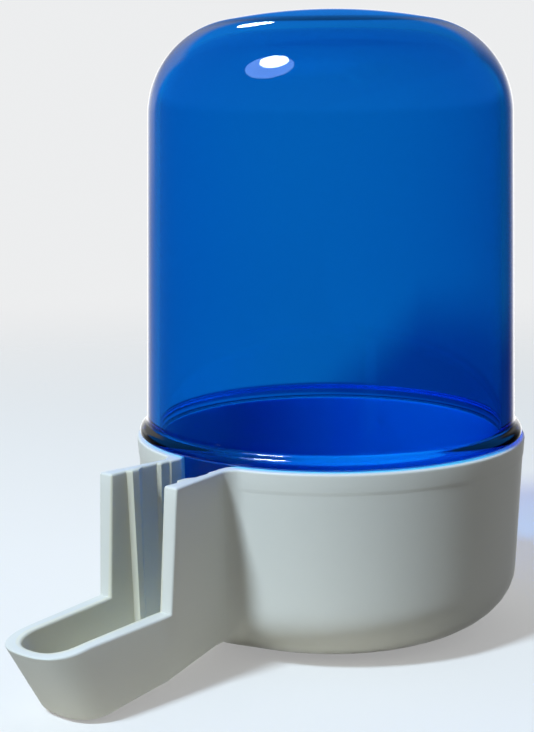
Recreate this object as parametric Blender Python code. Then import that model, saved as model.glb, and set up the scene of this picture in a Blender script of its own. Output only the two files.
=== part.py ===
"""Siphon drinker for cage birds, holding about 150 cc.

A white base cup carries an open drinking spout. A clear blue reservoir stands in it, mouth down.
Z is up, the spout points along -Y, and the origin is the middle of the cup's flat foot.
"""

import math

import bmesh
import bpy
from mathutils import Vector

MM = 0.001
SEAT_GAP = 0.3 * MM

# Cup
FOOT_CORNER = 9.4 * MM
FOOT_INSET = 12.9 * MM
CUP_RADIUS = 28.6 * MM
CUP_DRAFT = 0.030
FLOOR = 1.8 * MM
FLOOR_RAMP = (14.0 * MM, 31.0 * MM)
CUP_INNER_CORNER = 7.0 * MM
CUP_INNER_INSET = 10.5 * MM
SLOT_INNER_CORNER = 2.5 * MM
SLOT_CORNER_ANGLE = math.radians(8)
RIM_HEIGHT = 29.45 * MM
RIM_INNER_RADIUS = 27.6 * MM
RIM_ROUNDING = 0.35 * MM
BAND_FOOT = 26.35 * MM
BAND_EDGE = 0.2 * MM
BAND_STEP = 0.15 * MM
BAND_FLARE = 0.35 * MM

# Spout, with distances out from the cup's axis
FILLET_RADIUS = 2.2 * MM
SPOUT_HALF_WIDTH = 7.05 * MM
SPOUT_DRAFT = 0.019
SPOUT_TAPER = 0.040
SPOUT_CORNER = 0.95 * MM
UNDERSIDE_NEAR = (32.0 * MM, 4.4 * MM)
UNDERSIDE_FAR = (58.0 * MM, 0.08 * MM)
CHEEK_FRONT = 42.5 * MM
CHEEK_LEAN = 0.055
CHEEK_SPLAY = 0.1 * MM
CHEEK_BACK = 30.5 * MM
CHEEK_SLOPE = 0.010
TROUGH_RIM = 12.1 * MM
TROUGH_SLOPE = 0.057
TIP_DIP = 0.36 * MM
TIP_OUT = 63.05 * MM
TIP_RAKE = 0.61
TIP_ROUND = 6.4 * MM
TIP_CORNER = 2.1 * MM
TIP_POWER = 2.5

# Water way inside the spout
SLOT_HALF_WIDTH = 4.3 * MM
SLOT_LEAD = (0.7 * MM, 28.45 * MM)
JAMB_STEP = (0.15 * MM, 30.5 * MM, 30.75 * MM)
CHANNEL_STEP = (0.45 * MM, 32.4 * MM, 32.9 * MM)
CHANNEL_DRAFT = 0.013
CHANNEL_TAPER = 0.017
TROUGH_WALL = 1.9 * MM
TROUGH_CORNER = 1.4 * MM
TIP_INNER_CORNER = 2.6 * MM
RIB_BACK = 35.8 * MM
RIB_HEIGHT = 0.7 * MM
RIB_FRONT_LOW = 37.95 * MM
RIB_FRONT_LEAN = 0.027
RIB_RAMP = 1.0 * MM

# Reservoir
DOME_RADIUS = 28.0 * MM
DOME_TOP_RADIUS = 27.1 * MM
DOME_CORNER = 14.2 * MM
CROWN_RADIUS = 81.5 * MM
TOP_HEIGHT = 92.85 * MM
DOME_WALL = 1.8 * MM
FLANGE_RADIUS = 29.1 * MM
FLANGE_EDGE = 0.3 * MM
FLANGE_SIDE = 0.4 * MM
SHOULDER_ROUND = 1.4 * MM
SHOULDER_COVE = 0.8 * MM
SHOULDER_TURN = 60
NECK_RADIUS = 27.2 * MM
NECK_END_RADIUS = 26.6 * MM
NECK_WALL = 1.0 * MM
NECK_FILLET = 0.4 * MM
NECK_END = 8.05 * MM

# Facets
BOWL_STEPS = 30
FILLET_STEPS = 5
CHEEK_STEPS = 7
TROUGH_STEPS = 3
TIP_STEPS = 8
CORNER_STEPS = 5
RESERVOIR_STEPS = 64

SHARP_ANGLE = math.radians(35)


def mix(a, b, share):
    return a + (b - a) * share


def smooth(share):
    share = min(max(share, 0.0), 1.0)
    return share * share * (3.0 - 2.0 * share)


def along(points, share):
    """The point at this share of the way along a run of points, each leg counting the same."""
    place = share * (len(points) - 1)
    leg = min(int(place), len(points) - 2)
    return points[leg].lerp(points[leg + 1], place - leg)


def arc(centre, radius, start, end, steps):
    """Points on an arc, with its angles in degrees."""
    angles = [math.radians(mix(start, end, i / steps)) for i in range(steps + 1)]
    return [(centre[0] + radius * math.cos(a), centre[1] + radius * math.sin(a)) for a in angles]


def plastic(name, colour, roughness, transmission=0.0):
    material = bpy.data.materials.new(name)
    material.use_nodes = True
    shader = material.node_tree.nodes["Principled BSDF"]
    shader.inputs["Base Color"].default_value = (*colour, 1.0)
    shader.inputs["Roughness"].default_value = roughness
    shader.inputs["Metallic"].default_value = 0.0
    shader.inputs["Transmission Weight"].default_value = transmission
    return material


def add_object(name, mesh, material):
    mesh.materials.append(material)
    piece = bpy.data.objects.new(name, mesh)
    bpy.context.collection.objects.link(piece)
    return piece


def underside(out):
    """Height of the spout's underside, which runs down from the cup to the tip."""
    share = (out - UNDERSIDE_NEAR[0]) / (UNDERSIDE_FAR[0] - UNDERSIDE_NEAR[0])
    return mix(UNDERSIDE_NEAR[1], UNDERSIDE_FAR[1], min(max(share, 0.0), 1.0))


def cheek_front(height):
    return CHEEK_FRONT - CHEEK_LEAN * (height - TROUGH_RIM)


def cheek_top(out):
    """The cheeks' tops run on from the cup's rim and fall a little towards the front."""
    return RIM_HEIGHT - CHEEK_SLOPE * max(out - CHEEK_BACK, 0.0)


def cheek_splay(height):
    """How much further apart the cheeks' fronts stand at a height than their backs."""
    return CHEEK_SPLAY * max(height - TROUGH_RIM, 0.0) / (RIM_HEIGHT - TROUGH_RIM)


def trough_rim(out):
    """The trough's rim slopes down from the cheeks and dips a little more round the tip."""
    dip = TIP_DIP * smooth((out - TIP_OUT + TIP_ROUND) / TIP_ROUND)
    return TROUGH_RIM - TROUGH_SLOPE * max(out - CHEEK_FRONT, 0.0) - dip


def rounded_tip(half_width, end, length):
    """The tip's plan, a squarish round from the spout's side to its middle line."""
    turns = [0.5 * math.pi * i / TIP_STEPS for i in range(TIP_STEPS + 1)]
    power = 2.0 / TIP_POWER
    return [
        Vector((half_width * abs(math.cos(a)) ** power, end - length + length * math.sin(a) ** power))
        for a in turns[:-1]
    ] + [Vector((0.0, end))]


def outer_outline(height):
    """Plan of the cup and spout at a height: one half, from the cup's back round to the spout's tip."""
    radius = CUP_RADIUS + CUP_DRAFT * (height - FOOT_CORNER)
    half = SPOUT_HALF_WIDTH + SPOUT_DRAFT * (height - TROUGH_RIM)
    side = half + FILLET_RADIUS
    reach = radius + FILLET_RADIUS
    fillet_out = math.sqrt(reach**2 - side**2)
    fillet_angle = math.asin(side / reach)
    flare = 0.0
    if height > BAND_FOOT:
        flare = BAND_STEP + BAND_FLARE * (height - BAND_FOOT) / (RIM_HEIGHT - BAND_FOOT)
    points = []
    for i in range(BOWL_STEPS):
        angle = mix(math.pi, fillet_angle, i / BOWL_STEPS)
        points.append((radius + flare) * Vector((math.sin(angle), math.cos(angle))))
    for i in range(FILLET_STEPS):
        angle = mix(fillet_angle, 0.5 * math.pi, i / FILLET_STEPS)
        bulge = FILLET_RADIUS - flare * (1.0 - smooth(i / FILLET_STEPS))
        points.append(Vector((side, fillet_out)) - bulge * Vector((math.sin(angle), math.cos(angle))))
    front = cheek_front(height)
    front_half = half + cheek_splay(height)
    for i in range(CHEEK_STEPS):
        share = i / CHEEK_STEPS
        points.append(Vector((mix(half, front_half, share), mix(fillet_out, front, share))))
    end = TIP_OUT - TIP_RAKE * (trough_rim(TIP_OUT) - height)
    start = end - TIP_ROUND
    tip_half = half - SPOUT_TAPER * (start - front)
    for i in range(TROUGH_STEPS):
        share = i / TROUGH_STEPS
        points.append(Vector((mix(front_half, tip_half, share), mix(front, start, share))))
    return points + rounded_tip(tip_half, end, TIP_ROUND)


def rib_line(height, half):
    """Inner face of a cheek, with the upright rib that stands on it."""
    rib_front = RIB_FRONT_LOW + RIB_FRONT_LEAN * (height - SPOUT_CORNER)
    crest = rib_front - RIB_RAMP
    front = cheek_front(height)
    back = CHANNEL_STEP[2]
    line = [
        (0.0, back),
        (0.0, mix(back, RIB_BACK, 0.5)),
        (0.0, RIB_BACK),
        (RIB_HEIGHT, mix(RIB_BACK, crest, 0.5)),
        (RIB_HEIGHT, crest),
        (0.0, rib_front),
        (0.0, mix(rib_front, front, 0.5)),
    ]
    spread = cheek_splay(height) / (front - back)
    return [Vector((half + spread * (out - back) - rise, out)) for rise, out in line]


def inner_outline(height):
    """Plan of the water space, station for station with the outer outline."""
    radius = RIM_INNER_RADIUS - CUP_DRAFT * (RIM_HEIGHT - height)
    lead_half = SLOT_HALF_WIDTH + SLOT_LEAD[0]
    slot_angle = math.asin(lead_half / radius)
    points = []
    for i in range(BOWL_STEPS):
        angle = mix(math.pi, slot_angle, i / BOWL_STEPS)
        points.append(radius * Vector((math.sin(angle), math.cos(angle))))
    step_half = SLOT_HALF_WIDTH + JAMB_STEP[0]
    half = step_half + CHANNEL_STEP[0] + CHANNEL_DRAFT * (height - RIM_HEIGHT)
    jamb = [
        Vector((lead_half, radius * math.cos(slot_angle))),
        Vector((SLOT_HALF_WIDTH, SLOT_LEAD[1])),
        Vector((SLOT_HALF_WIDTH, JAMB_STEP[1])),
        Vector((step_half, JAMB_STEP[2])),
        Vector((step_half, CHANNEL_STEP[1])),
        Vector((half, CHANNEL_STEP[2])),
    ]
    points += [along(jamb, i / FILLET_STEPS) for i in range(FILLET_STEPS)]
    points += rib_line(height, half)
    front = cheek_front(height)
    front_half = half + cheek_splay(height)
    end = TIP_OUT - TROUGH_WALL - TIP_RAKE * (trough_rim(TIP_OUT) - height)
    length = TIP_ROUND - 0.5 * TROUGH_WALL
    start = end - length
    tip_half = half - CHANNEL_TAPER * (start - front)
    for i in range(TROUGH_STEPS):
        share = i / TROUGH_STEPS
        points.append(Vector((mix(front_half, tip_half, share), mix(front, start, share))))
    return points + rounded_tip(tip_half, end, length)


# Stations of one half, counted from the cup's back
FILLET_START = BOWL_STEPS
CHEEK_START = FILLET_START + FILLET_STEPS
TROUGH_START = CHEEK_START + CHEEK_STEPS
TIP_START = TROUGH_START + TROUGH_STEPS
LAST_STATION = TIP_START + TIP_STEPS


def station_shares(station):
    """How far a station is through the fillet and through the tip, each eased from 0 to 1."""
    through_fillet = smooth((station - FILLET_START) / FILLET_STEPS)
    through_tip = smooth((station - TIP_START) / TIP_STEPS)
    return through_fillet, through_tip


def outer_foot(station):
    """Height of the outside's lowest point at a station, then the height and inset of its rounding."""
    through_fillet, through_tip = station_shares(station)
    corner = mix(mix(FOOT_CORNER, SPOUT_CORNER, through_fillet), TIP_CORNER, through_tip)
    inset = mix(mix(FOOT_INSET, SPOUT_CORNER, through_fillet), TIP_CORNER, through_tip)
    out = outer_outline(SPOUT_CORNER)[station].y
    return through_fillet * underside(out), corner, inset


def floor_height(out):
    """The floor is level in the cup, and runs up to the slot to lie over the spout's underside."""
    ramp = (out - FLOOR_RAMP[0]) / (FLOOR_RAMP[1] - FLOOR_RAMP[0])
    return FLOOR + smooth(ramp) * underside(out)


def inner_foot(station):
    """Height of the floor inside at a station, then the height and inset of its rounding."""
    through_fillet, through_tip = station_shares(station)
    point = inner_outline(FLOOR)[station]
    if station < FILLET_START:
        slot_angle = math.asin((SLOT_HALF_WIDTH + SLOT_LEAD[0]) / RIM_INNER_RADIUS)
        past_slot = math.atan2(point.x, point.y) - slot_angle
        share = smooth(past_slot / SLOT_CORNER_ANGLE)
        inset = mix(SLOT_INNER_CORNER, CUP_INNER_INSET, share)
        start = point.y * (1.0 - inset / point.length)
        return floor_height(start), mix(SLOT_INNER_CORNER, CUP_INNER_CORNER, share), inset
    corner = mix(mix(SLOT_INNER_CORNER, TROUGH_CORNER, through_fillet), TIP_INNER_CORNER, through_tip)
    return floor_height(point.y), corner, corner


def sideways(points, station):
    """Unit vector square to the outline at a station, pointing away from its inside."""
    mirrored = Vector((-1.0, 1.0))
    before = points[station - 1] if station > 0 else points[1] * mirrored
    after = points[station + 1] if station < LAST_STATION else points[LAST_STATION - 1] * mirrored
    step = after - before
    return Vector((step.y, -step.x)).normalized()


def wall_column(outline, foot, station):
    """Points up one wall at a station: the rounded foot, the trough's rim level and the levels above."""
    lowest, corner, inset = foot(station)
    at_corner = outline(lowest + corner)
    in_spout = outline is inner_outline and FILLET_START < station < TROUGH_START
    away = Vector((1.0, 0.0)) if in_spout else sideways(at_corner, station)
    column = []
    for i in range(CORNER_STEPS + 1):
        angle = 0.5 * math.pi * i / CORNER_STEPS
        point = at_corner[station] - inset * (1.0 - math.sin(angle)) * away
        column.append((point, lowest + corner * (1.0 - math.cos(angle))))
    shelf = trough_rim(outline(TROUGH_RIM)[station].y)
    heights = [shelf]
    if station <= TROUGH_START:
        top = cheek_top(outline(RIM_HEIGHT)[station].y)
        heights += [BAND_FOOT, BAND_FOOT + BAND_EDGE, top]
    column += [(outline(height)[station], height) for height in heights]
    return column


def ring_of_columns(mesh, outline, foot):
    """Vertex columns all round the base: right half out to the tip, then the left half back."""
    halves = [wall_column(outline, foot, station) for station in range(LAST_STATION + 1)]
    columns = []
    for side, stations in ((1.0, range(LAST_STATION + 1)), (-1.0, range(LAST_STATION - 1, 0, -1))):
        for station in stations:
            columns.append([mesh.verts.new((side * p.x, -p.y, z)) for p, z in halves[station]])
    return columns


def build_base_cup(material):
    """Lofts the cup and spout as two walls that share a rim, closed by the underside and the floor."""
    mesh = bmesh.new()
    outer = ring_of_columns(mesh, outer_outline, outer_foot)
    inner = ring_of_columns(mesh, inner_outline, inner_foot)
    count = len(outer)
    shelf = CORNER_STEPS + 1

    for columns in (outer, inner):
        for i in range(count):
            left, right = columns[i], columns[(i + 1) % count]
            for row in range(min(len(left), len(right)) - 1):
                mesh.faces.new((left[row], right[row], right[row + 1], left[row + 1]))
        mesh.faces.new((columns[0][0], columns[1][0], columns[-1][0]))
        for i in range(1, LAST_STATION - 1):
            right, left = columns[i : i + 2], columns[-i - 1 : count - i + 1]
            mesh.faces.new((right[0][0], right[1][0], left[0][0], left[1][0]))
        tip = columns[LAST_STATION - 1 : LAST_STATION + 2]
        mesh.faces.new([column[0] for column in tip])

    edges = []
    for i in range(count):
        j = (i + 1) % count
        row = min(len(outer[i]), len(outer[j])) - 1
        corners = (outer[i][row], outer[j][row], inner[j][row], inner[i][row])
        mesh.faces.new(corners)
        edges += [corners[0:2], corners[2:4]]
    for i in (TROUGH_START, count - TROUGH_START):
        for row in range(shelf, len(outer[i]) - 1):
            mesh.faces.new((outer[i][row], outer[i][row + 1], inner[i][row + 1], inner[i][row]))
            edges += [(outer[i][row], outer[i][row + 1]), (inner[i][row], inner[i][row + 1])]
        edges.append((outer[i][-1], inner[i][-1]))

    bmesh.ops.recalc_face_normals(mesh, faces=mesh.faces)
    weight = mesh.edges.layers.float.new("bevel_weight_edge")
    for ends in edges:
        mesh.edges.get(ends)[weight] = 1.0
    data = bpy.data.meshes.new("base_cup")
    mesh.to_mesh(data)
    mesh.free()
    data.shade_smooth()
    data.set_sharp_from_angle(angle=SHARP_ANGLE)
    base = add_object("base_cup", data, material)
    rounding = base.modifiers.new("rim_rounding", "BEVEL")
    rounding.limit_method = "WEIGHT"
    rounding.width = RIM_ROUNDING
    rounding.segments = 2
    return base


def dome_profile(wall):
    """The dome from its middle down to where the side begins, a wall's thickness in from the outside."""
    across = DOME_TOP_RADIUS - DOME_CORNER
    crown_centre = TOP_HEIGHT - CROWN_RADIUS
    rise = math.sqrt((CROWN_RADIUS - DOME_CORNER) ** 2 - across**2)
    meeting = math.degrees(math.atan2(rise, across))
    crown = arc((0.0, crown_centre), CROWN_RADIUS - wall, 90, meeting, 3)
    corner = arc((across, crown_centre + rise), DOME_CORNER - wall, meeting, 0, 8)
    return [(0.0, TOP_HEIGHT - wall)] + crown[1:] + corner[1:]


def reservoir_profile():
    """Half section of the reservoir, down the outside and back up the inside."""
    seat = RIM_HEIGHT + SEAT_GAP
    round_height = seat + FLANGE_SIDE
    rounded = arc((FLANGE_RADIUS - SHOULDER_ROUND, round_height), SHOULDER_ROUND, SHOULDER_TURN, 0, 3)
    turn = math.radians(SHOULDER_TURN)
    cove_height = rounded[0][1] + SHOULDER_COVE * math.sin(turn)
    cove_radius = rounded[0][0] - SHOULDER_COVE * (1.0 - math.cos(turn))
    cove = arc((cove_radius + SHOULDER_COVE, cove_height), SHOULDER_COVE, 180, 180 + SHOULDER_TURN, 2)
    edge = arc((FLANGE_RADIUS - FLANGE_EDGE, seat + FLANGE_EDGE), FLANGE_EDGE, 0, -90, 2)
    under = arc((NECK_RADIUS + NECK_FILLET, seat - NECK_FILLET), NECK_FILLET, 90, 180, 2)
    lip = 0.5 * NECK_WALL
    end = arc((NECK_END_RADIUS - lip, NECK_END + lip), lip, 0, -180, 6)
    inside = [
        (NECK_RADIUS - NECK_WALL, seat),
        (mix(NECK_RADIUS - NECK_WALL, DOME_RADIUS - DOME_WALL, 0.5), mix(seat, cove_height, 0.5)),
        (DOME_RADIUS - DOME_WALL, cove_height),
    ]
    outside = dome_profile(0.0) + cove[:-1] + rounded + edge + under
    return outside + end + inside + dome_profile(DOME_WALL)[::-1]


def build_reservoir(material):
    """Turns the half section about the axis, with the object's origin on that axis at the flange's seat."""
    seat = RIM_HEIGHT + SEAT_GAP
    points = [(radius, 0.0, height - seat) for radius, height in reservoir_profile()]
    data = bpy.data.meshes.new("reservoir")
    data.from_pydata(points, [(i, i + 1) for i in range(len(points) - 1)], [])
    reservoir = add_object("reservoir", data, material)
    reservoir.location = (0.0, 0.0, seat)
    turned = reservoir.modifiers.new("turned", "SCREW")
    turned.axis = "Z"
    turned.steps = RESERVOIR_STEPS
    turned.render_steps = RESERVOIR_STEPS
    turned.use_merge_vertices = True
    turned.merge_threshold = 0.1 * MM
    turned.use_smooth_shade = True
    return reservoir


def main():
    for old in list(bpy.data.objects):
        bpy.data.objects.remove(old, do_unlink=True)
    base = build_base_cup(plastic("white_plastic", (0.60, 0.66, 0.65), 0.35))
    reservoir = build_reservoir(plastic("clear_blue_plastic", (0.01, 0.30, 0.75), 0.05, transmission=1.0))
    reservoir.parent = base


main()
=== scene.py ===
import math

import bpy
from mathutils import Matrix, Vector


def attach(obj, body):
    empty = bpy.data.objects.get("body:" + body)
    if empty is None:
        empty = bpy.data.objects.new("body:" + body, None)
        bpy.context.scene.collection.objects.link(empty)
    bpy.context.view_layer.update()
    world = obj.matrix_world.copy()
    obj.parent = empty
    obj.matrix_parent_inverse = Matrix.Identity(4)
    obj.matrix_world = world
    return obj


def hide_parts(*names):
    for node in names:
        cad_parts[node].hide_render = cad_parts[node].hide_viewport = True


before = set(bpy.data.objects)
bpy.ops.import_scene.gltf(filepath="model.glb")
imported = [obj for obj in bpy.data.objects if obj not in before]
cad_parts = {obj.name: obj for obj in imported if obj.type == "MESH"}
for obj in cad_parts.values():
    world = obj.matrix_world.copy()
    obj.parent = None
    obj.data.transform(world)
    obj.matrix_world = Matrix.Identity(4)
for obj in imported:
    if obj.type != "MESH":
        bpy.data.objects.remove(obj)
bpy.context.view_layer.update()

# Looks of a siphon drinker for cage birds: a clear blue reservoir stands mouth down in a white base cup
# with a drinking spout. Metres, +Z up. The spout points along -Y, and the origin is the middle of the
# cup's foot.

MM = 0.001

# Cup
FOOT_CORNER = 9.4 * MM
FOOT_INSET = 12.9 * MM
CUP_RADIUS = 28.55 * MM
CUP_DRAFT = 0.045
CUP_INNER_DRAFT = 0.030
FLOOR = 1.8 * MM
FLOOR_RAMP = (14.0 * MM, 31.0 * MM)
CUP_INNER_CORNER = 7.0 * MM
CUP_INNER_INSET = 10.5 * MM
SLOT_INNER_CORNER = 2.5 * MM
SLOT_CORNER_ANGLE = math.radians(8)
RIM_HEIGHT = 29.45 * MM
RIM_INNER_RADIUS = 27.6 * MM
RIM_ROUNDING = 0.35 * MM
BAND_FOOT = 26.35 * MM
BAND_EDGE = 0.45 * MM
BAND_STEP = 0.08 * MM
BAND_FLARE = 0.05 * MM

# Spout, with distances out from the cup's axis
FILLET_RADIUS = 2.7 * MM
SPOUT_HALF_WIDTH = 7.05 * MM
SPOUT_DRAFT = 0.019
SPOUT_TAPER = 0.040
SPOUT_CORNER = 0.95 * MM
UNDERSIDE_NEAR = (32.0 * MM, 4.4 * MM)
UNDERSIDE_FAR = (58.0 * MM, 0.08 * MM)
CHEEK_FRONT = 42.5 * MM
CHEEK_LEAN = 0.055
CHEEK_SPLAY = 0.1 * MM
CHEEK_BACK = 30.5 * MM
CHEEK_WAIST = 1.5 * MM
CHEEK_SLOPE = 0.010
TROUGH_RIM = 12.1 * MM
TROUGH_SLOPE = 0.057
TIP_DIP = 0.36 * MM
TIP_OUT = 63.05 * MM
TIP_RAKE = 0.61
TIP_ROUND = 6.4 * MM
TIP_CORNER = 1.4 * MM
TIP_POWER = 2.5

# Water way inside the spout
SLOT_HALF_WIDTH = 4.3 * MM
SLOT_LEAD = (0.7 * MM, 28.45 * MM)
JAMB_STEP = (0.15 * MM, 30.5 * MM, 30.75 * MM)
CHANNEL_STEP = (0.45 * MM, 32.4 * MM, 32.9 * MM)
CHANNEL_DRAFT = 0.013
CHANNEL_TAPER = 0.017
TROUGH_WALL = 1.9 * MM
TROUGH_CORNER = 1.4 * MM
TIP_INNER_CORNER = 2.6 * MM
RIB_BACK = 35.8 * MM
RIB_HEIGHT = 0.7 * MM
RIB_FRONT_LOW = 37.95 * MM
RIB_FRONT_LEAN = 0.027
RIB_RAMP = 0.5 * MM

# Reservoir
SEAT_GAP = 0.3 * MM
DOME_RADIUS = 28.0 * MM
DOME_TOP_RADIUS = 27.1 * MM
DOME_CORNER = 14.2 * MM
CROWN_RADIUS = 81.5 * MM
TOP_HEIGHT = 92.85 * MM
DOME_WALL = 1.8 * MM
FLANGE_RADIUS = 29.1 * MM
FLANGE_EDGE = 0.3 * MM
FLANGE_SIDE = 0.4 * MM
SHOULDER_ROUND = 1.4 * MM
SHOULDER_COVE = 0.8 * MM
SHOULDER_TURN = 60
NECK_RADIUS = 27.2 * MM
NECK_END_RADIUS = 26.6 * MM
NECK_WALL = 1.0 * MM
NECK_FILLET = 0.4 * MM
NECK_END = 8.05 * MM

# Facets of one half of the base cup
BOWL_STEPS = 96
FILLET_STEPS = 20
BAND_END_STEPS = 8
CHEEK_STEPS = 7
TROUGH_STEPS = 12
TIP_STEPS = 24
CORNER_STEPS = 10
RIM_ROUND_STEPS = 4

# Facets of the reservoir
RESERVOIR_STEPS = 224
CROWN_STEPS = 20
DOME_CORNER_STEPS = 28
SMALL_ARC_STEPS = 6
LIP_STEPS = 12

# Smoothing. A straight run has a short lead beside each kink, which keeps the rest of it flat.
SHARP_ANGLE = math.radians(26)
LEAD = 0.08 * MM
LEAD_LIMIT = 0.3
WELD = 0.002 * MM
CORNER_REACH = 0.05 * MM

# White plastic: colours are the two that its cloud runs between, patterns are a scale and a detail
WHITE = ((0.67, 0.675, 0.625), (0.71, 0.705, 0.66))
# Painted warm bounce light: the cloud's two colours on the spout's inside, warmer than the white
WHITE_WARM_LIT = ((0.69, 0.67, 0.55), (0.73, 0.70, 0.59))
WHITE_CLOUD = (70.0, 3.0)
WHITE_GRAIN = (1500.0, 2.0)
WHITE_ROUGHNESS = 0.34
CLOUD_ROUGHNESS = 0.12
GRAIN_ROUGHNESS = 0.05
GRAIN_BUMP = 0.08
BUMP_DEPTH = 0.02 * MM
WHITE_IOR = 1.40

# Painted warm bounce light inside the spout: where it sets in along the spout and above the underside,
# how far past the wet walls it reaches, and the shares of that line over which it ends
WARM_LIGHT_START = (CHEEK_BACK - 1.5 * MM, CHEEK_BACK)
WARM_LIGHT_FLOOR = (0.5 * FLOOR, 0.8 * FLOOR)
WARM_LIGHT_MARGIN = 0.12 * MM
WARM_LIGHT_TIP_MARGIN = 0.36 * MM
WARM_LIGHT_EDGE = (1.0, 1.12)

# Clear blue plastic
BLUE_STAIN = ((0.17, 0.63, 0.915), (0.19, 0.66, 0.93))
BLUE_DEPTH = (0.0, 0.748, 0.954, 1.0)
BLUE_DEPTH_DENSITY = 960.0
BLUE_SHADOW = (0.80, 1.0, 1.0, 1.0)
BLUE_HAZE = (45.0, 2.0)
BLUE_RIPPLE = (90.0, 1.0)
BLUE_ROUGHNESS = 0.01
HAZE_ROUGHNESS = 0.03
RIPPLE_BUMP = 0.15
BLUE_IOR = 1.5

# Camera, as the photograph was taken: angles in degrees, lengths in pixels of its 534 x 732 frame
VIEW_AZIMUTH = 38.964
VIEW_ELEVATION = 11.850
VIEW_YAW = 2.189
VIEW_PITCH = -9.773
VIEW_ROLL = -0.437
VIEW_DISTANCE = 257.84 * MM
VIEW_PIVOT = 29.99 * MM
VIEW_FOCAL_PX = 1675.1
FRAME_LONG_PX = 732
SENSOR_WIDTH = 36.0
CLIP_START = 10.0 * MM

# Lamps: name, azimuth and elevation, distance, size, power, whether only gloss mirrors it, colour
LAMP_COLOUR = (0.83, 1.0, 1.14)
HALO_COLOUR = (0.30, 0.48, 1.0)
LAMP_TARGET = 50.0 * MM
LAMPS = [
    ("key_lamp", (-3.0, 47.0), 0.90, 0.14, 8.8, False, LAMP_COLOUR),
    ("key_mirrored", (-16.7, 59.3), 0.70, 0.17, 2.6, True, LAMP_COLOUR),
    ("key_halo_mirrored", (-14.3, 53.2), 0.73, 0.32, 2.1, True, HALO_COLOUR),
    ("crown_mirrored", (-125.0, 41.0), 0.70, 0.09, 0.30, True, LAMP_COLOUR),
]

# Studio behind the drinker and around it. Fills: colour, strength, azimuth and elevation, narrowness.
PURE_WHITE = (1.0, 1.0, 1.0)
BACKDROP = 0.86
BACKDROP_COLOUR = (0.98, 0.99, 1.0)
AMBIENT = 0.02
AMBIENT_COLOUR = (0.98, 1.0, 1.02)
FILLS = [
    ((0.98, 0.98, 0.92), 0.40, (-42.0, 10.0), 2.0),
    (AMBIENT_COLOUR, 1.55, (150.0, 15.0), 8.0),
    (AMBIENT_COLOUR, 1.05, (225.0, 20.0), 4.0),
]

# Sky that lights the cup's inside through the dome, from steeply above
POOL_SKY = 1.2
POOL_SKY_HEIGHT = (0.8, 0.98)
POOL_SKY_COLOUR = (0.6, 1.0, 1.0)

# Backdrop seen through the clear plastic: it darkens to the right, with a shaded patch low on that side
THROUGH = 0.64
THROUGH_SLOPE = 0.45
THROUGH_LIMITS = (0.45, 0.80)
SHADE_SLOPE = 0.61
SHADE_REACH = 0.085
SHADE_EDGE = (0.163, 0.214)
SHADE_COLOUR = (0.38, 0.33, 0.64)

# Backdrop mirrored in gloss: bright straight behind, weaker to the right, and a blue sky above it
SHEEN_PEAK = 7.4
SHEEN_LIMIT = 1.6
SHEEN_SPREAD = 0.174
SHEEN_RIGHT = (0.30, 0.60)
SHEEN_RIGHT_LOSS = 0.9
SHEEN_TOP = (0.05, 0.20)
SHEEN_SKY = 1.05
SHEEN_SKY_COLOUR = (0.02, 0.24, 0.85)

# Pale walls at both sides of the backdrop, mirrored in the dome's rounded shoulder
WALL_SHEEN = 0.42
WALL_SHEEN_ACROSS = (0.05, 0.25, 0.57, 0.66)
WALL_SHEEN_UP = (-0.10, 0.05, 0.38, 0.50)
WALL_SHEEN_BEYOND = (0.0, 0.2)

# Floor: the camera sees pale paper, and what it throws back up is brighter and warmer near the spout
FLOOR_COLOUR = (0.50, 0.505, 0.51)
FLOOR_NEAR_COLOUR = (0.72, 0.64, 0.54)
FLOOR_FAR_COLOUR = (0.21, 0.19, 0.17)
FLOOR_NEAR = (20.0 * MM, 50.0 * MM)
FLOOR_NEAR_MIDDLE = (8.0 * MM, -38.0 * MM, 0.0)
FLOOR_GLOW = 0.33
FLOOR_FADE = (120.0 * MM, 400.0 * MM)
FLOOR_DROP = 0.05 * MM
FLOOR_SIDES = 64


def mix(a, b, share):
    return a + (b - a) * share


def smooth(share):
    share = min(max(share, 0.0), 1.0)
    return share * share * (3.0 - 2.0 * share)


def along(points, share):
    """The point at this share of the way along a run of points, each leg counting the same."""
    place = share * (len(points) - 1)
    leg = min(int(place), len(points) - 2)
    return points[leg].lerp(points[leg + 1], place - leg)


def deselect_all():
    if bpy.context.mode != "OBJECT":
        bpy.ops.object.mode_set(mode="OBJECT")
    bpy.ops.object.select_all(action="DESELECT")


# Base cup: outlines of its outside and of its water space


def underside(out):
    """Height of the spout's underside, which runs down from the cup to the tip."""
    share = (out - UNDERSIDE_NEAR[0]) / (UNDERSIDE_FAR[0] - UNDERSIDE_NEAR[0])
    return mix(UNDERSIDE_NEAR[1], UNDERSIDE_FAR[1], min(max(share, 0.0), 1.0))


def cheek_front(height):
    return CHEEK_FRONT - CHEEK_LEAN * (height - TROUGH_RIM)


def cheek_top(out):
    """The cheeks' tops run on from the cup's rim and fall a little towards the front."""
    return RIM_HEIGHT - CHEEK_SLOPE * max(out - CHEEK_BACK, 0.0)


def cheek_splay(height):
    """How much further apart the cheeks' fronts stand at a height than their backs."""
    return CHEEK_SPLAY * max(height - TROUGH_RIM, 0.0) / (RIM_HEIGHT - TROUGH_RIM)


def trough_rim(out):
    """The trough's rim slopes down from the cheeks and dips a little more round the tip."""
    dip = TIP_DIP * smooth((out - TIP_OUT + TIP_ROUND) / TIP_ROUND)
    return TROUGH_RIM - TROUGH_SLOPE * max(out - CHEEK_FRONT, 0.0) - dip


def rounded_tip(half_width, end, length):
    """The tip's plan, a squarish round from the spout's side to its middle line."""
    turns = [0.5 * math.pi * i / TIP_STEPS for i in range(TIP_STEPS + 1)]
    power = 2.0 / TIP_POWER
    return [
        Vector((half_width * abs(math.cos(a)) ** power, end - length + length * math.sin(a) ** power))
        for a in turns[:-1]
    ] + [Vector((0.0, end))]


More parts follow.
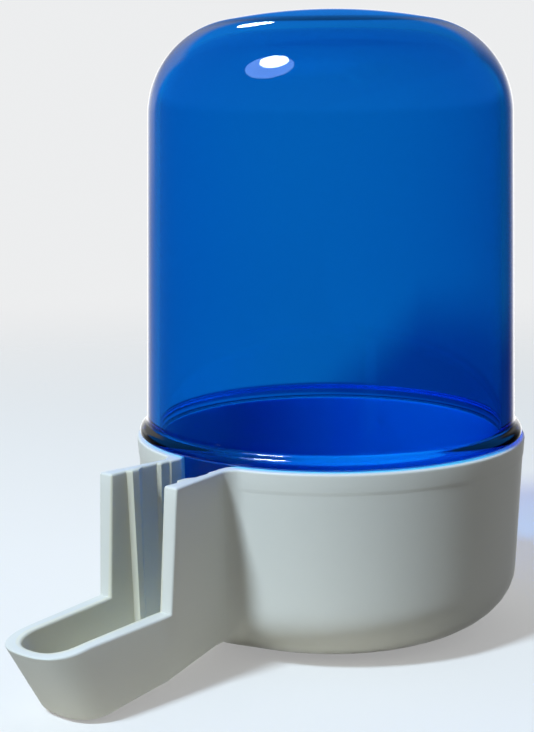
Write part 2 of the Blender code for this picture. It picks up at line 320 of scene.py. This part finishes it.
def outer_outline(height):
    """Plan of the cup and spout at a height: one half, from the cup's back round to the spout's tip."""
    radius = CUP_RADIUS + CUP_DRAFT * (height - FOOT_CORNER)
    half = SPOUT_HALF_WIDTH + SPOUT_DRAFT * (height - TROUGH_RIM)
    waist = half - CHEEK_WAIST
    side = waist + FILLET_RADIUS
    reach = radius + FILLET_RADIUS
    fillet_out = math.sqrt(reach**2 - side**2)
    fillet_angle = math.asin(side / reach)
    flare = 0.0
    if height > BAND_FOOT:
        flare = BAND_STEP + BAND_FLARE * (height - BAND_FOOT) / (RIM_HEIGHT - BAND_FOOT)
    points = []
    for i in range(BOWL_STEPS):
        angle = mix(math.pi, fillet_angle, i / BOWL_STEPS)
        points.append((radius + flare) * Vector((math.sin(angle), math.cos(angle))))
    for i in range(FILLET_STEPS):
        angle = mix(fillet_angle, 0.5 * math.pi, i / FILLET_STEPS)
        bulge = FILLET_RADIUS - flare * (1.0 - smooth(i / BAND_END_STEPS))
        points.append(Vector((side, fillet_out)) - bulge * Vector((math.sin(angle), math.cos(angle))))
    front = cheek_front(height)
    front_half = half + cheek_splay(height)
    for i in range(CHEEK_STEPS):
        share = i / CHEEK_STEPS
        points.append(Vector((mix(waist, front_half, share), mix(fillet_out, front, share))))
    end = TIP_OUT - TIP_RAKE * (trough_rim(TIP_OUT) - height)
    start = end - TIP_ROUND
    tip_half = half - SPOUT_TAPER * (start - front)
    for i in range(TROUGH_STEPS):
        share = i / TROUGH_STEPS
        points.append(Vector((mix(front_half, tip_half, share), mix(front, start, share))))
    return points + rounded_tip(tip_half, end, TIP_ROUND)


def rib_line(height, half):
    """Inner face of a cheek, with the upright rib that stands on it."""
    rib_front = RIB_FRONT_LOW + RIB_FRONT_LEAN * (height - SPOUT_CORNER)
    crest = rib_front - RIB_RAMP
    front = cheek_front(height)
    back = CHANNEL_STEP[2]
    line = [
        (0.0, back),
        (0.0, mix(back, RIB_BACK, 0.5)),
        (0.0, RIB_BACK),
        (RIB_HEIGHT, mix(RIB_BACK, crest, 0.5)),
        (RIB_HEIGHT, crest),
        (0.0, rib_front),
        (0.0, mix(rib_front, front, 0.5)),
    ]
    spread = cheek_splay(height) / (front - back)
    return [Vector((half + spread * (out - back) - rise, out)) for rise, out in line]


def inner_outline(height):
    """Plan of the water space, station for station with the outer outline."""
    radius = RIM_INNER_RADIUS - CUP_INNER_DRAFT * (RIM_HEIGHT - height)
    lead_half = SLOT_HALF_WIDTH + SLOT_LEAD[0]
    slot_angle = math.asin(lead_half / radius)
    points = []
    for i in range(BOWL_STEPS):
        angle = mix(math.pi, slot_angle, i / BOWL_STEPS)
        points.append(radius * Vector((math.sin(angle), math.cos(angle))))
    step_half = SLOT_HALF_WIDTH + JAMB_STEP[0]
    half = step_half + CHANNEL_STEP[0] + CHANNEL_DRAFT * (height - RIM_HEIGHT)
    jamb = [
        Vector((lead_half, radius * math.cos(slot_angle))),
        Vector((SLOT_HALF_WIDTH, SLOT_LEAD[1])),
        Vector((SLOT_HALF_WIDTH, JAMB_STEP[1])),
        Vector((step_half, JAMB_STEP[2])),
        Vector((step_half, CHANNEL_STEP[1])),
        Vector((half, CHANNEL_STEP[2])),
    ]
    points += [along(jamb, i / FILLET_STEPS) for i in range(FILLET_STEPS)]
    points += rib_line(height, half)
    front = cheek_front(height)
    front_half = half + cheek_splay(height)
    end = TIP_OUT - TROUGH_WALL - TIP_RAKE * (trough_rim(TIP_OUT) - height)
    length = TIP_ROUND - 0.5 * TROUGH_WALL
    start = end - length
    tip_half = half - CHANNEL_TAPER * (start - front)
    for i in range(TROUGH_STEPS):
        share = i / TROUGH_STEPS
        points.append(Vector((mix(front_half, tip_half, share), mix(front, start, share))))
    return points + rounded_tip(tip_half, end, length)


# Stations round both outlines, from the cup's back to the tip, and the row of points at the trough's rim
FILLET_START = BOWL_STEPS
CHEEK_START = FILLET_START + FILLET_STEPS
TROUGH_START = CHEEK_START + CHEEK_STEPS
TIP_START = TROUGH_START + TROUGH_STEPS
LAST_STATION = TIP_START + TIP_STEPS
TROUGH_RIM_ROW = CORNER_STEPS + 2


def station_shares(station):
    """How far a station is through the fillet and through the tip, each eased from 0 to 1."""
    through_fillet = smooth((station - FILLET_START) / FILLET_STEPS)
    through_tip = smooth((station - TIP_START) / TIP_STEPS)
    return through_fillet, through_tip


def outer_foot(station):
    """Height of the outside's lowest point at a station, then the height and inset of its rounding."""
    through_fillet, through_tip = station_shares(station)
    corner = mix(mix(FOOT_CORNER, SPOUT_CORNER, through_fillet), TIP_CORNER, through_tip)
    inset = mix(mix(FOOT_INSET, SPOUT_CORNER, through_fillet), TIP_CORNER, through_tip)
    out = outer_outline(SPOUT_CORNER)[station].y
    return through_fillet * underside(out), corner, inset


def floor_height(out):
    """The floor is level in the cup, and runs up to the slot to lie over the spout's underside."""
    share = (out - FLOOR_RAMP[0]) / (FLOOR_RAMP[1] - FLOOR_RAMP[0])
    return FLOOR + smooth(share) * underside(out)


def inner_foot(station):
    """Height of the floor inside at a station, then the height and inset of its rounding."""
    through_fillet, through_tip = station_shares(station)
    point = inner_outline(FLOOR)[station]
    if station < FILLET_START:
        slot_angle = math.asin((SLOT_HALF_WIDTH + SLOT_LEAD[0]) / RIM_INNER_RADIUS)
        past_slot = math.atan2(point.x, point.y) - slot_angle
        share = smooth(past_slot / SLOT_CORNER_ANGLE)
        inset = mix(SLOT_INNER_CORNER, CUP_INNER_INSET, share)
        start = point.y * (1.0 - inset / point.length)
        return floor_height(start), mix(SLOT_INNER_CORNER, CUP_INNER_CORNER, share), inset
    corner = mix(mix(SLOT_INNER_CORNER, TROUGH_CORNER, through_fillet), TIP_INNER_CORNER, through_tip)
    return floor_height(point.y), corner, corner


def sideways(points, station):
    """Unit vector square to the outline at a station, pointing away from its inside."""
    mirrored = Vector((-1.0, 1.0))
    before = points[station - 1] if station > 0 else points[1] * mirrored
    after = points[station + 1] if station < LAST_STATION else points[LAST_STATION - 1] * mirrored
    step = after - before
    return Vector((step.y, -step.x)).normalized()


def wall_column(outline, foot, station):
    """Points up one wall at a station, from the middle line of its floor to its rim."""
    lowest, corner, inset = foot(station)
    in_spout = outline is inner_outline and FILLET_START < station < TROUGH_START
    away = Vector((1.0, 0.0)) if in_spout else sideways(outline(lowest + corner), station)
    lean = math.atan(TIP_RAKE * max(away.y, 0.0)) if station > TIP_START else 0.0
    turn = 0.5 * math.pi - lean
    wall_foot = outline(lowest + corner * (1.0 - math.cos(turn)))[station]
    column = []
    for i in range(CORNER_STEPS + 1):
        angle = turn * i / CORNER_STEPS
        point = wall_foot - inset * (math.sin(turn) - math.sin(angle)) * away
        column.append((point, lowest + corner * (1.0 - math.cos(angle))))
    first, height = column[0]
    column.insert(0, (Vector((0.0, first.y)), height))
    top = cheek_top(outline(RIM_HEIGHT)[station].y)
    band_top = BAND_FOOT + BAND_EDGE
    band = (BAND_FOOT - LEAD, BAND_FOOT, band_top, band_top + LEAD)
    for height in (trough_rim(outline(TROUGH_RIM)[station].y), *band, top):
        column.append((outline(height)[station], height))
    return column


def add_wall(name, outline, foot):
    """One wall of the base: a grid bent round its outline, without the rows over the open trough."""
    halves = [wall_column(outline, foot, station) for station in range(LAST_STATION + 1)]
    ring = [(1.0, station) for station in range(LAST_STATION + 1)]
    ring += [(-1.0, station) for station in range(LAST_STATION - 1, -1, -1)]
    rows = len(halves[0])
    deselect_all()
    bpy.ops.mesh.primitive_grid_add(x_subdivisions=len(ring) - 1, y_subdivisions=rows - 1, size=1.0)
    wall = bpy.context.object
    wall.name = name
    for row in range(rows):
        for place, (side, station) in enumerate(ring):
            point, height = halves[station][row]
            wall.data.vertices[row * len(ring) + place].co = (side * point.x, -point.y, height)
    bpy.ops.object.mode_set(mode="EDIT")
    bpy.ops.mesh.select_mode(type="FACE")
    bpy.ops.mesh.select_all(action="DESELECT")
    bpy.ops.object.mode_set(mode="OBJECT")
    for face in wall.data.polygons:
        row, place = divmod(face.index, len(ring) - 1)
        face.select = row >= TROUGH_RIM_ROW and TROUGH_START <= place < len(ring) - 1 - TROUGH_START
    bpy.ops.object.mode_set(mode="EDIT")
    bpy.ops.mesh.delete(type="FACE")
    bpy.ops.mesh.select_all(action="SELECT")
    bpy.ops.mesh.remove_doubles(threshold=WELD)
    bpy.ops.mesh.delete_loose()
    bpy.ops.object.mode_set(mode="OBJECT")
    return wall


def build_base_cup(material):
    """The outer and inner walls, bridged along their rims and rounded there."""
    inner = add_wall("base_cup_inside", inner_outline, inner_foot)
    base = add_wall("base_cup_moulding", outer_outline, outer_foot)
    inner.select_set(True)
    base.select_set(True)
    bpy.context.view_layer.objects.active = base
    bpy.ops.object.join()
    bpy.ops.object.mode_set(mode="EDIT")
    bpy.ops.mesh.select_mode(type="EDGE")
    bpy.ops.mesh.select_all(action="DESELECT")
    bpy.ops.mesh.select_non_manifold(
        extend=False, use_wire=False, use_multi_face=False, use_non_contiguous=False, use_verts=False
    )
    bpy.ops.mesh.bridge_edge_loops()
    bpy.ops.mesh.region_to_loop()
    bpy.ops.mesh.mark_seam()
    bpy.ops.mesh.select_all(action="SELECT")
    bpy.ops.mesh.normals_make_consistent(inside=False)
    bpy.ops.mesh.select_all(action="DESELECT")
    bpy.ops.object.mode_set(mode="OBJECT")

    # The seams are the rims' edges, and the cheeks' top front corners are rounded with them
    corner, top = wall_column(outer_outline, outer_foot, TROUGH_START)[-1]
    for edge in base.data.edges:
        ends = [base.data.vertices[index].co for index in edge.vertices]
        at_corner = all(max(abs(end.y + corner.y), abs(end.z - top)) < CORNER_REACH for end in ends)
        edge.select = edge.use_seam or at_corner
    bpy.ops.object.mode_set(mode="EDIT")
    bpy.ops.mesh.bevel(offset=RIM_ROUNDING, segments=RIM_ROUND_STEPS, affect="EDGES")
    bpy.ops.mesh.select_all(action="SELECT")
    bpy.ops.mesh.mark_seam(clear=True)
    bpy.ops.mesh.normals_make_consistent(inside=False)
    bpy.ops.object.mode_set(mode="OBJECT")
    bpy.ops.object.shade_smooth_by_angle(angle=SHARP_ANGLE)
    base.data.materials.append(material)
    return base


# Reservoir: its half section is drawn point by point and arc by arc, then spun about the axis


class Section:
    """A half section in the XZ plane, drawn from its last point in edit mode."""

    def __init__(self, name, x, z):
        deselect_all()
        bpy.ops.mesh.primitive_plane_add(size=MM, enter_editmode=True, location=(0.0, 0.0, 0.0))
        bpy.context.object.name = name
        bpy.ops.mesh.select_mode(type="VERT")
        bpy.ops.mesh.merge(type="CENTER")
        bpy.ops.transform.translate(value=(x, 0.0, z))
        self.x, self.z = x, z

    def line(self, x, z):
        """Draws to a point, with a short lead at each end that keeps the shading between them flat."""
        across, up = x - self.x, z - self.z
        lead = min(LEAD / math.hypot(across, up), LEAD_LIMIT)
        for share in (lead, 1.0 - 2.0 * lead, lead):
            bpy.ops.mesh.extrude_region_move(
                TRANSFORM_OT_translate={"value": (share * across, 0.0, share * up)}
            )
        self.x, self.z = x, z

    def arc(self, x, z, degrees, steps=SMALL_ARC_STEPS):
        """Turns the last point about a centre, anticlockwise for a positive angle."""
        angle = math.radians(degrees)
        bpy.ops.mesh.spin(steps=steps, angle=angle, center=(x, 0.0, z), axis=(0.0, 1.0, 0.0))
        across, up = self.x - x, self.z - z
        self.x = x + across * math.cos(angle) - up * math.sin(angle)
        self.z = z + across * math.sin(angle) + up * math.cos(angle)


def dome_corner_centre():
    """Centre of the round between the dome's side and its crown, across and up in the half section."""
    across = DOME_TOP_RADIUS - DOME_CORNER
    rise = math.sqrt((CROWN_RADIUS - DOME_CORNER) ** 2 - across**2)
    return across, TOP_HEIGHT - CROWN_RADIUS + rise


def draw_dome(section, downwards):
    """Draws the crown and its rounded corner, down the outside or back up the inside."""
    crown_centre = TOP_HEIGHT - CROWN_RADIUS
    across, corner_centre = dome_corner_centre()
    meeting = math.degrees(math.atan2(corner_centre - crown_centre, across))
    crown = (0.0, crown_centre, 90.0 - meeting, CROWN_STEPS)
    corner = (across, corner_centre, meeting, DOME_CORNER_STEPS)
    for x, z, turn, steps in (crown, corner) if downwards else (corner, crown):
        section.arc(x, z, -turn if downwards else turn, steps)


def build_reservoir(material):
    seat = RIM_HEIGHT + SEAT_GAP
    turn = math.radians(SHOULDER_TURN)
    round_x = FLANGE_RADIUS - SHOULDER_ROUND
    round_z = seat + FLANGE_SIDE
    cove_x = round_x + (SHOULDER_ROUND + SHOULDER_COVE) * math.cos(turn)
    cove_z = round_z + (SHOULDER_ROUND + SHOULDER_COVE) * math.sin(turn)
    lip = 0.5 * NECK_WALL

    section = Section("reservoir_moulding", 0.0, TOP_HEIGHT)
    draw_dome(section, True)
    section.line(cove_x - SHOULDER_COVE, cove_z)
    section.arc(cove_x, cove_z, SHOULDER_TURN)
    section.arc(round_x, round_z, -SHOULDER_TURN)
    section.line(FLANGE_RADIUS, seat + FLANGE_EDGE)
    section.arc(FLANGE_RADIUS - FLANGE_EDGE, seat + FLANGE_EDGE, -90)
    section.line(NECK_RADIUS + NECK_FILLET, seat)
    section.arc(NECK_RADIUS + NECK_FILLET, seat - NECK_FILLET, 90)
    section.line(NECK_END_RADIUS, NECK_END + lip)
    section.arc(NECK_END_RADIUS - lip, NECK_END + lip, -180, LIP_STEPS)
    section.line(NECK_RADIUS - NECK_WALL, seat)
    section.line(DOME_RADIUS - DOME_WALL, cove_z)
    section.line(DOME_TOP_RADIUS - DOME_WALL, dome_corner_centre()[1])
    draw_dome(section, False)

    bpy.ops.mesh.select_all(action="SELECT")
    bpy.ops.mesh.spin(
        steps=RESERVOIR_STEPS, angle=2.0 * math.pi, center=(0.0, 0.0, 0.0), axis=(0.0, 0.0, 1.0)
    )
    bpy.ops.mesh.select_all(action="SELECT")
    bpy.ops.mesh.remove_doubles(threshold=WELD)
    bpy.ops.mesh.normals_make_consistent(inside=False)
    bpy.ops.object.mode_set(mode="OBJECT")
    bpy.ops.object.shade_smooth_by_angle(angle=SHARP_ANGLE)
    reservoir = bpy.context.object
    reservoir.data.materials.append(material)
    return reservoir


# Finishes


class Wire:
    """A shader socket that sums are written on. Each sum adds its Math node."""

    def __init__(self, tree, socket):
        self.tree = tree
        self.socket = socket

    @classmethod
    def node(cls, tree, kind, settings=None, sockets=None, output=0):
        """Adds a node, sets it up, then gives its sockets their values or wires."""
        made = tree.nodes.new(kind)
        for name, value in (settings or {}).items():
            setattr(made, name, value)
        for name, value in (sockets or {}).items():
            if isinstance(value, Wire):
                tree.links.new(value.socket, made.inputs[name])
            else:
                made.inputs[name].default_value = value
        return cls(tree, made.outputs[output]) if made.outputs else made

    def sum(self, operation, first, second=0.0):
        return Wire.node(self.tree, "ShaderNodeMath", {"operation": operation}, {0: first, 1: second})

    def __add__(self, other):
        return self.sum("ADD", self, other)

    def __radd__(self, other):
        return self.sum("ADD", other, self)

    def __sub__(self, other):
        return self.sum("SUBTRACT", self, other)

    def __rsub__(self, other):
        return self.sum("SUBTRACT", other, self)

    def __mul__(self, other):
        return self.sum("MULTIPLY", self, other)

    def __rmul__(self, other):
        return self.sum("MULTIPLY", other, self)

    def __truediv__(self, other):
        return self.sum("DIVIDE", self, other)

    def __rtruediv__(self, other):
        return self.sum("DIVIDE", other, self)

    def __pow__(self, other):
        return self.sum("POWER", self, other)

    def __rpow__(self, other):
        return self.sum("POWER", other, self)

    def __abs__(self):
        return self.sum("ABSOLUTE", self)

    def at_least(self, other):
        return self.sum("MAXIMUM", self, other)

    def at_most(self, other):
        return self.sum("MINIMUM", self, other)


def new_tree(owner):
    owner.use_nodes = True
    owner.node_tree.nodes.clear()
    return owner.node_tree


def light_path(tree, ray):
    return Wire.node(tree, "ShaderNodeLightPath", output=f"Is {ray} Ray")


def object_place(tree):
    return Wire.node(tree, "ShaderNodeTexCoord", output="Object")


def noise(tree, place, scale, detail):
    return Wire.node(tree, "ShaderNodeTexNoise", {}, {"Vector": place, "Scale": scale, "Detail": detail})


def bump(tree, strength, height):
    sockets = {"Strength": strength, "Distance": BUMP_DEPTH, "Height": height}
    return Wire.node(tree, "ShaderNodeBump", {}, sockets)


def ramp(tree, value, low, high):
    """Eases from 0 to 1 as a value goes from one bound to the other."""
    return Wire.node(
        tree,
        "ShaderNodeMapRange",
        {"interpolation_type": "SMOOTHSTEP"},
        {"Value": value, "From Min": low, "From Max": high},
    )


def between(tree, value, start, full, waning, end):
    """Eases up to 1 over the first two bounds and back to 0 over the last two."""
    return ramp(tree, value, start, full) * (1.0 - ramp(tree, value, waning, end))


def colour_mix(tree, factor, first, second):
    sockets = {"Factor": factor}
    for name, colour in ((6, first), (7, second)):
        sockets[name] = colour if isinstance(colour, Wire) else (*colour, 1.0)
    return Wire.node(tree, "ShaderNodeMix", {"data_type": "RGBA"}, sockets, output=2)


def warm_light_mask(tree, place):
    """Painted warm light's mask: 1 on the spout's water side, 0 outside; a line round the trough splits
    them.
    """
    x, y, z = (
        Wire.node(tree, "ShaderNodeSeparateXYZ", {}, {"Vector": place}, output=axis) for axis in "XYZ"
    )
    out = 0.0 - y
    slope = (UNDERSIDE_NEAR[1] - UNDERSIDE_FAR[1]) / (UNDERSIDE_FAR[0] - UNDERSIDE_NEAR[0])
    above_underside = z + slope * (out - UNDERSIDE_NEAR[0]) - UNDERSIDE_NEAR[1]
    line_half = SLOT_HALF_WIDTH + JAMB_STEP[0] + CHANNEL_STEP[0] + CHEEK_SPLAY + WARM_LIGHT_MARGIN
    tip_end = TIP_OUT - TIP_RAKE * trough_rim(TIP_OUT) - TROUGH_WALL
    tip_length = TIP_ROUND - 0.5 * TROUGH_WALL
    into_tip = out - TIP_RAKE * z - (tip_end - tip_length)
    along_tip = into_tip.at_least(0.0) / (tip_length + WARM_LIGHT_TIP_MARGIN)
    beside = abs(x) / line_half
    past_line = ramp(tree, beside**TIP_POWER + along_tip**TIP_POWER, *WARM_LIGHT_EDGE)
    return ramp(tree, out, *WARM_LIGHT_START) * ramp(tree, above_underside, *WARM_LIGHT_FLOOR) * (1.0 - past_line)


def white_plastic():
    """Satin moulded white plastic, faintly clouded and grained; painted warm bounce light in the spout."""
    material = bpy.data.materials.new("white_plastic")
    tree = new_tree(material)
    place = object_place(tree)
    cloud = noise(tree, place, *WHITE_CLOUD)
    grain = noise(tree, place, *WHITE_GRAIN)
    clean = colour_mix(tree, cloud, *WHITE)
    # Painted warm bounce light: the spout's inside takes the warmer pair of colours
    warm_lit = colour_mix(tree, cloud, *WHITE_WARM_LIT)
    plastic = Wire.node(
        tree,
        "ShaderNodeBsdfPrincipled",
        {},
        {
            "Base Color": colour_mix(tree, warm_light_mask(tree, place), clean, warm_lit),
            "Roughness": WHITE_ROUGHNESS + CLOUD_ROUGHNESS * cloud + GRAIN_ROUGHNESS * grain,
            "IOR": WHITE_IOR,
            "Normal": bump(tree, GRAIN_BUMP, grain),
        },
    )
    Wire.node(tree, "ShaderNodeOutputMaterial", {}, {"Surface": plastic})
    return material


def clear_blue_plastic():
    """Glossy see-through blue: a stain for each face that light crosses, and more for the depth between."""
    material = bpy.data.materials.new("clear_blue_plastic")
    tree = new_tree(material)
    place = object_place(tree)
    haze = noise(tree, place, *BLUE_HAZE)
    ripple = noise(tree, place, *BLUE_RIPPLE)
    plastic = Wire.node(
        tree,
        "ShaderNodeBsdfPrincipled",
        {},
        {
            "Base Color": colour_mix(tree, haze, *BLUE_STAIN),
            "Roughness": BLUE_ROUGHNESS + HAZE_ROUGHNESS * haze,
            "IOR": BLUE_IOR,
            "Transmission Weight": 1.0,
            "Normal": bump(tree, RIPPLE_BUMP, ripple),
        },
    )
    tint = Wire.node(tree, "ShaderNodeBsdfTransparent", {}, {"Color": BLUE_SHADOW})
    shadow = light_path(tree, "Shadow")
    surface = Wire.node(tree, "ShaderNodeMixShader", {}, {"Fac": shadow, 1: plastic, 2: tint})
    depth = Wire.node(
        tree, "ShaderNodeVolumeAbsorption", {}, {"Color": BLUE_DEPTH, "Density": BLUE_DEPTH_DENSITY}
    )
    Wire.node(tree, "ShaderNodeOutputMaterial", {}, {"Surface": surface, "Volume": depth})
    return material


def floor_paper():
    """Pale paper that keeps the drinker's shadow and fades into the backdrop further out."""
    material = bpy.data.materials.new("floor_paper")
    tree = new_tree(material)
    place = object_place(tree)
    from_middle, from_spout = (
        Wire.node(
            tree, "ShaderNodeVectorMath", {"operation": "DISTANCE"}, {0: place, 1: middle}, output="Value"
        )
        for middle in ((0.0, 0.0, 0.0), FLOOR_NEAR_MIDDLE)
    )
    bounced = colour_mix(tree, ramp(tree, from_spout, *FLOOR_NEAR), FLOOR_NEAR_COLOUR, FLOOR_FAR_COLOUR)
    colour = colour_mix(tree, light_path(tree, "Diffuse"), FLOOR_COLOUR, bounced)
    paper = Wire.node(
        tree,
        "ShaderNodeBsdfPrincipled",
        {},
        {"Base Color": colour, "Roughness": 1.0, "Specular IOR Level": 0.0},
    )
    glow = Wire.node(tree, "ShaderNodeEmission", {}, {"Strength": FLOOR_GLOW})
    glowing = Wire.node(tree, "ShaderNodeAddShader", {}, {0: paper, 1: glow})
    seen = light_path(tree, "Camera")
    lit = Wire.node(tree, "ShaderNodeMixShader", {}, {"Fac": seen, 1: paper, 2: glowing})
    clear = ramp(tree, from_middle, *FLOOR_FADE)
    for ray in ("Glossy", "Transmission"):
        clear = clear.at_least(light_path(tree, ray))
    nothing = Wire.node(tree, "ShaderNodeBsdfTransparent")
    surface = Wire.node(tree, "ShaderNodeMixShader", {}, {"Fac": clear, 1: lit, 2: nothing})
    Wire.node(tree, "ShaderNodeOutputMaterial", {}, {"Surface": surface})
    return material


# Stage


def towards(azimuth, elevation):
    """Direction from the drinker to something at this azimuth and elevation, as the views count them."""
    a, e = math.radians(azimuth), math.radians(elevation)
    return Vector((math.sin(a) * math.cos(e), -math.cos(a) * math.cos(e), math.sin(e)))


def along_way(tree, way, direction):
    """How far a ray's unit direction runs along another."""
    return Wire.node(
        tree, "ShaderNodeVectorMath", {"operation": "DOT_PRODUCT"}, {0: way, 1: direction}, output="Value"
    )


def background(tree, colour, strength):
    colour = colour if isinstance(colour, Wire) else (*colour, 1.0)
    return Wire.node(tree, "ShaderNodeBackground", {}, {"Color": colour, "Strength": strength})


def build_floor():
    deselect_all()
    bpy.ops.mesh.primitive_circle_add(
        vertices=FLOOR_SIDES, radius=FLOOR_FADE[1], fill_type="NGON", location=(0.0, 0.0, -FLOOR_DROP)
    )
    floor = bpy.context.object
    floor.name = "floor"
    floor.data.materials.append(floor_paper())


def build_world():
    """The studio around the drinker: a sum of skies, each seen only by its own kind of ray."""
    world = bpy.data.worlds.new("studio")
    bpy.context.scene.world = world
    tree = new_tree(world)
    way = Wire.node(tree, "ShaderNodeTexCoord", output="Generated")
    up = along_way(tree, way, Vector((0.0, 0.0, 1.0)))
    across = along_way(tree, way, towards(VIEW_AZIMUTH + 90.0, 0.0))

    # A ray that crosses the plastic also counts as glossy, and one that lights a matt surface has a
    # diffuse depth, whatever it crosses on its way.
    camera, glossy, crossing = (light_path(tree, ray) for ray in ("Camera", "Glossy", "Transmission"))
    scattered = Wire.node(tree, "ShaderNodeLightPath", output="Diffuse Depth")
    direct = 1.0 - scattered.at_most(1.0)
    mirrored = direct * glossy * (1.0 - crossing)
    into_pool = (1.0 - direct) * crossing * ramp(tree, up, *POOL_SKY_HEIGHT)
    crossing = direct * crossing
    hidden = 1.0 - camera.at_least(mirrored.at_least(crossing))

    turn = along_way(tree, way, -towards(VIEW_AZIMUTH, VIEW_ELEVATION)).at_most(1.0)
    turn = turn.sum("ARCCOSINE", turn)
    fall = turn.sum("EXPONENT", turn * (-1.0 / SHEEN_SPREAD))
    kept = 1.0 - SHEEN_RIGHT_LOSS * ramp(tree, across, *SHEEN_RIGHT)
    sheen = (SHEEN_PEAK * fall).at_most(SHEEN_LIMIT) * kept
    high = ramp(tree, up, *SHEEN_TOP)
    beyond = ramp(tree, along_way(tree, way, -towards(VIEW_AZIMUTH, 0.0)), *WALL_SHEEN_BEYOND)
    walls = between(tree, abs(across), *WALL_SHEEN_ACROSS) * between(tree, up, *WALL_SHEEN_UP) * beyond

    lowest, highest = THROUGH_LIMITS
    through = (THROUGH - THROUGH_SLOPE * across).at_least(lowest).at_most(highest)
    shade = ramp(tree, SHADE_SLOPE * across.at_most(SHADE_REACH) - up, *SHADE_EDGE)
    behind = colour_mix(tree, shade, PURE_WHITE, SHADE_COLOUR)

    skies = [
        background(tree, BACKDROP_COLOUR, BACKDROP * camera),
        background(tree, AMBIENT_COLOUR, AMBIENT * hidden),
        background(tree, POOL_SKY_COLOUR, POOL_SKY * into_pool),
        background(tree, PURE_WHITE, sheen * (1.0 - high) * mirrored),
        background(tree, SHEEN_SKY_COLOUR, SHEEN_SKY * high * (1.0 - walls) * mirrored),
        background(tree, PURE_WHITE, WALL_SHEEN * walls * kept * mirrored),
        background(tree, behind, through * crossing),
    ]
    for colour, strength, place, narrowness in FILLS:
        facing = along_way(tree, way, towards(*place)).at_least(0.0)
        skies.append(background(tree, colour, strength * facing**narrowness * hidden))
    sky = skies[0]
    for other in skies[1:]:
        sky = Wire.node(tree, "ShaderNodeAddShader", {}, {0: sky, 1: other})
    Wire.node(tree, "ShaderNodeOutputWorld", {}, {"Surface": sky})


def add_lamp(name, place, distance, size, power, in_gloss, colour):
    """A round lamp that either lights surfaces or is only mirrored in gloss."""
    deselect_all()
    back = towards(*place)
    target = Vector((0.0, 0.0, LAMP_TARGET))
    bpy.ops.object.light_add(type="AREA", location=target + distance * back)
    lamp = bpy.context.object
    lamp.name = name
    lamp.rotation_mode = "QUATERNION"
    lamp.rotation_quaternion = back.to_track_quat("Z", "Y")
    lamp.data.shape = "DISK"
    lamp.data.size = size
    lamp.data.energy = power
    lamp.data.color = colour
    lamp.visible_diffuse = not in_gloss
    lamp.visible_glossy = in_gloss
    lamp.visible_transmission = False


def add_camera():
    back = towards(VIEW_AZIMUTH, VIEW_ELEVATION)
    heading = math.radians(VIEW_AZIMUTH + VIEW_YAW)
    roll = math.radians(VIEW_ROLL)
    forward = -towards(VIEW_AZIMUTH + VIEW_YAW, -VIEW_PITCH)
    level = Vector((math.cos(heading), math.sin(heading), 0.0))
    upright = level.cross(forward)
    right = level * math.cos(roll) + upright * math.sin(roll)
    up = upright * math.cos(roll) - level * math.sin(roll)
    camera = bpy.data.objects.new("photo_view", bpy.data.cameras.new("photo_view"))
    bpy.context.scene.collection.objects.link(camera)
    turned = Matrix((right, up, -forward)).transposed().to_4x4()
    turned.translation = Vector((0.0, 0.0, VIEW_PIVOT)) + VIEW_DISTANCE * back
    camera.matrix_world = turned
    camera.data.sensor_width = SENSOR_WIDTH
    camera.data.lens = VIEW_FOCAL_PX * SENSOR_WIDTH / FRAME_LONG_PX
    camera.data.clip_start = CLIP_START
    bpy.context.scene.camera = camera


base_cup = build_base_cup(white_plastic())
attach(base_cup, "base")
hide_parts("base_cup")

reservoir = build_reservoir(clear_blue_plastic())
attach(reservoir, "reservoir")
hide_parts("reservoir")

build_floor()
build_world()
for lamp in LAMPS:
    add_lamp(*lamp)
add_camera()
bpy.context.scene.view_settings.view_transform = "Standard"
